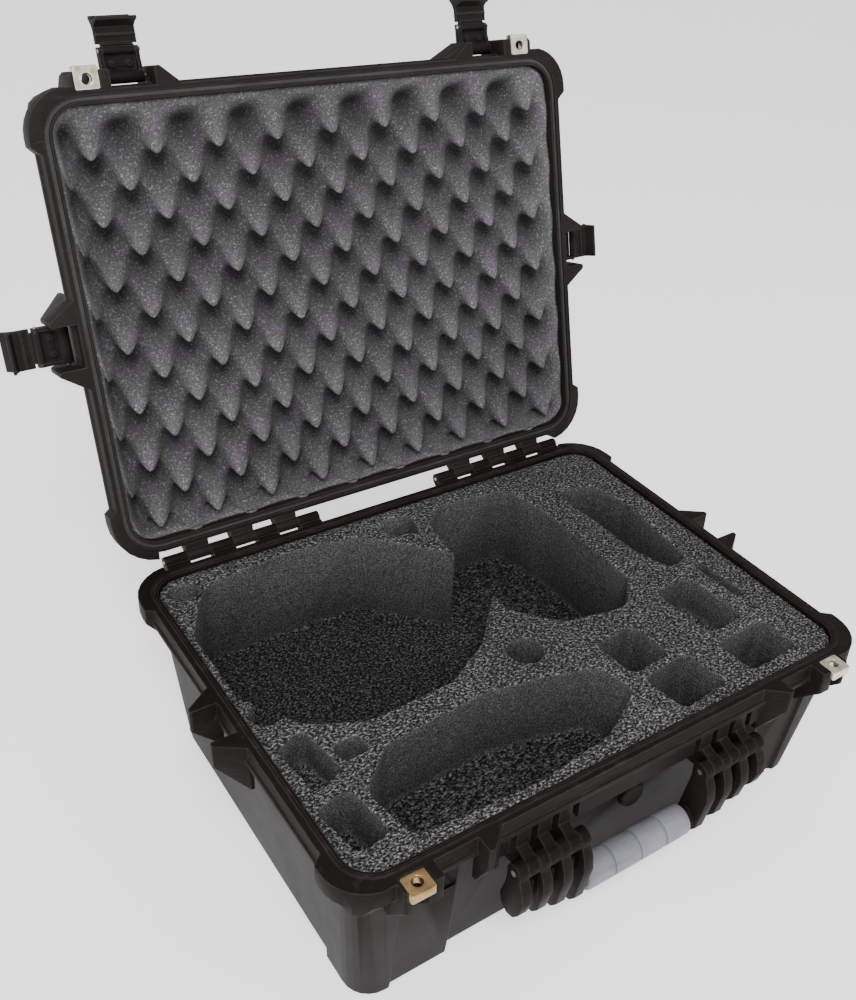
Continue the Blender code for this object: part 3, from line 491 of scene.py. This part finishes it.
# ---------------------------------------------------------------- build
def build():
    base = shell_look("shell_base", (0.0046, 0.0034, 0.0031), (0.0098, 0.0074, 0.0067))
    lid = shell_look("shell_lid", (0.0090, 0.0078, 0.0073), (0.0165, 0.0144, 0.0136))
    latch = shell_look("shell_latch", (0.0070, 0.0064, 0.0062), (0.0150, 0.0138, 0.0134))
    nickel = metal_look("nickel_plate", (0.70, 0.66, 0.58), (0.42, 0.33, 0.20), 0.30)
    brass = metal_look("brass_worn_plate", (0.44, 0.29, 0.14), (0.24, 0.14, 0.07), 0.34)
    steel = metal_look("pin_steel", (0.50, 0.49, 0.47), (0.25, 0.22, 0.19), 0.34)
    seal = rubber_look("seal_rubber", (0.020, 0.020, 0.020), (0.040, 0.040, 0.042), 0.7)
    soft = rubber_look("grip_rubber", (0.145, 0.146, 0.165), (0.215, 0.216, 0.242), 0.55)

    stands_for(bevelled("base_shell", base, 0.0009), "base_shell", "base")
    stands_for(bevelled("lid_shell", lid, 0.0009), "lid_shell", "lid")
    stands_for(bevelled("handle_frame", base, 0.0010), "handle_frame", "handle")
    stands_for(grip(soft), "handle_grip", "handle")
    for label in ("front_left", "front_right", "side_left", "side_right"):
        stands_for(bevelled("latch_arm_" + label, latch, 0.0005), "latch_arm_" + label,
                   "arm_" + label)
        stands_for(bevelled("latch_lever_" + label, latch, 0.0006), "latch_lever_" + label,
                   "lever_" + label)
    for where in ("base", "lid"):
        for side in ("left", "right"):
            node = "padlock_plate_" + where + "_" + side
            look = brass if (where, side) == ("base", "left") else nickel
            stands_for(bevelled(node, look, 0.0006), node, where)
    for node in ("valve_body", "valve_cap"):
        stands_for(bevelled(node, base, 0.0004), node, "base")

    cut_foam = tray_foam_look()
    tray = stands_for(porous("foam_tray", cut_foam, 0.0024, 0.0007, 330.0), "foam_tray", "base")
    pad = stands_for(porous("foam_pad", cut_foam, 0.005, 0.0008, 200.0), "foam_pad", "base")
    egg = stands_for(lid_foam(lid_foam_look()), "lid_foam", "lid")

    for name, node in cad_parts.items():
        if "pin" in name:
            paint(node.data, steel)
    paint(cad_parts["lid_gasket"].data, seal)
    paint(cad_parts["valve_nut"].data, base)


# ---------------------------------------------------------------- studio and camera
def studio():
    bpy.ops.mesh.primitive_plane_add(size=FLOOR_SIZE, location=(0, 0, -FLOOR_DROP))
    floor = bpy.context.active_object
    floor.name = "floor"
    look = bpy.data.materials.new("floor_white")
    look.use_nodes = True
    shader = look.node_tree.nodes["Principled BSDF"]
    shader.inputs["Base Color"].default_value = (0.93, 0.93, 0.93, 1)
    shader.inputs["Emission Color"].default_value = (1.0, 1.0, 1.0, 1)
    shader.inputs["Emission Strength"].default_value = FLOOR_GLOW
    shader.inputs["Roughness"].default_value = 0.9
    floor.data.materials.append(look)

    world = bpy.data.worlds.new("studio")
    world.use_nodes = True
    world.node_tree.nodes["Background"].inputs[0].default_value = (1.0, 1.0, 1.0, 1)
    world.node_tree.nodes["Background"].inputs[1].default_value = SKY_STRENGTH
    bpy.context.scene.world = world
    for name, place, size, power in LAMPS:
        lamp = bpy.data.lights.new(name, 'AREA')
        lamp.size = size
        lamp.energy = power
        light = bpy.data.objects.new(name, lamp)
        light.location = place
        aim = LAMP_AIM - Vector(place)
        light.rotation_euler = aim.to_track_quat('-Z', 'Y').to_euler()
        bpy.context.scene.collection.objects.link(light)


def camera():
    level = math.cos(CAMERA_ELEVATION)
    towards = Vector((math.sin(CAMERA_AZIMUTH) * level, -math.cos(CAMERA_AZIMUTH) * level,
                      math.sin(CAMERA_ELEVATION)))
    right = (-towards).cross(Vector((0, 0, 1))).normalized()
    up = right.cross(-towards)
    right_rolled = right * math.cos(CAMERA_ROLL) + up * math.sin(CAMERA_ROLL)
    up_rolled = up * math.cos(CAMERA_ROLL) - right * math.sin(CAMERA_ROLL)
    lens = bpy.data.cameras.new("camera")
    lens.sensor_width = CAMERA_SENSOR
    lens.lens = CAMERA_LENS
    lens.shift_x, lens.shift_y = CAMERA_SHIFT
    lens.clip_start = CAMERA_CLIP
    made = bpy.data.objects.new("camera", lens)
    turn = Matrix((right_rolled, up_rolled, towards)).transposed()
    made.matrix_world = Matrix.Translation(CAMERA_PLACE) @ turn.to_4x4()
    bpy.context.scene.collection.objects.link(made)
    bpy.context.scene.camera = made


build()
studio()
camera()
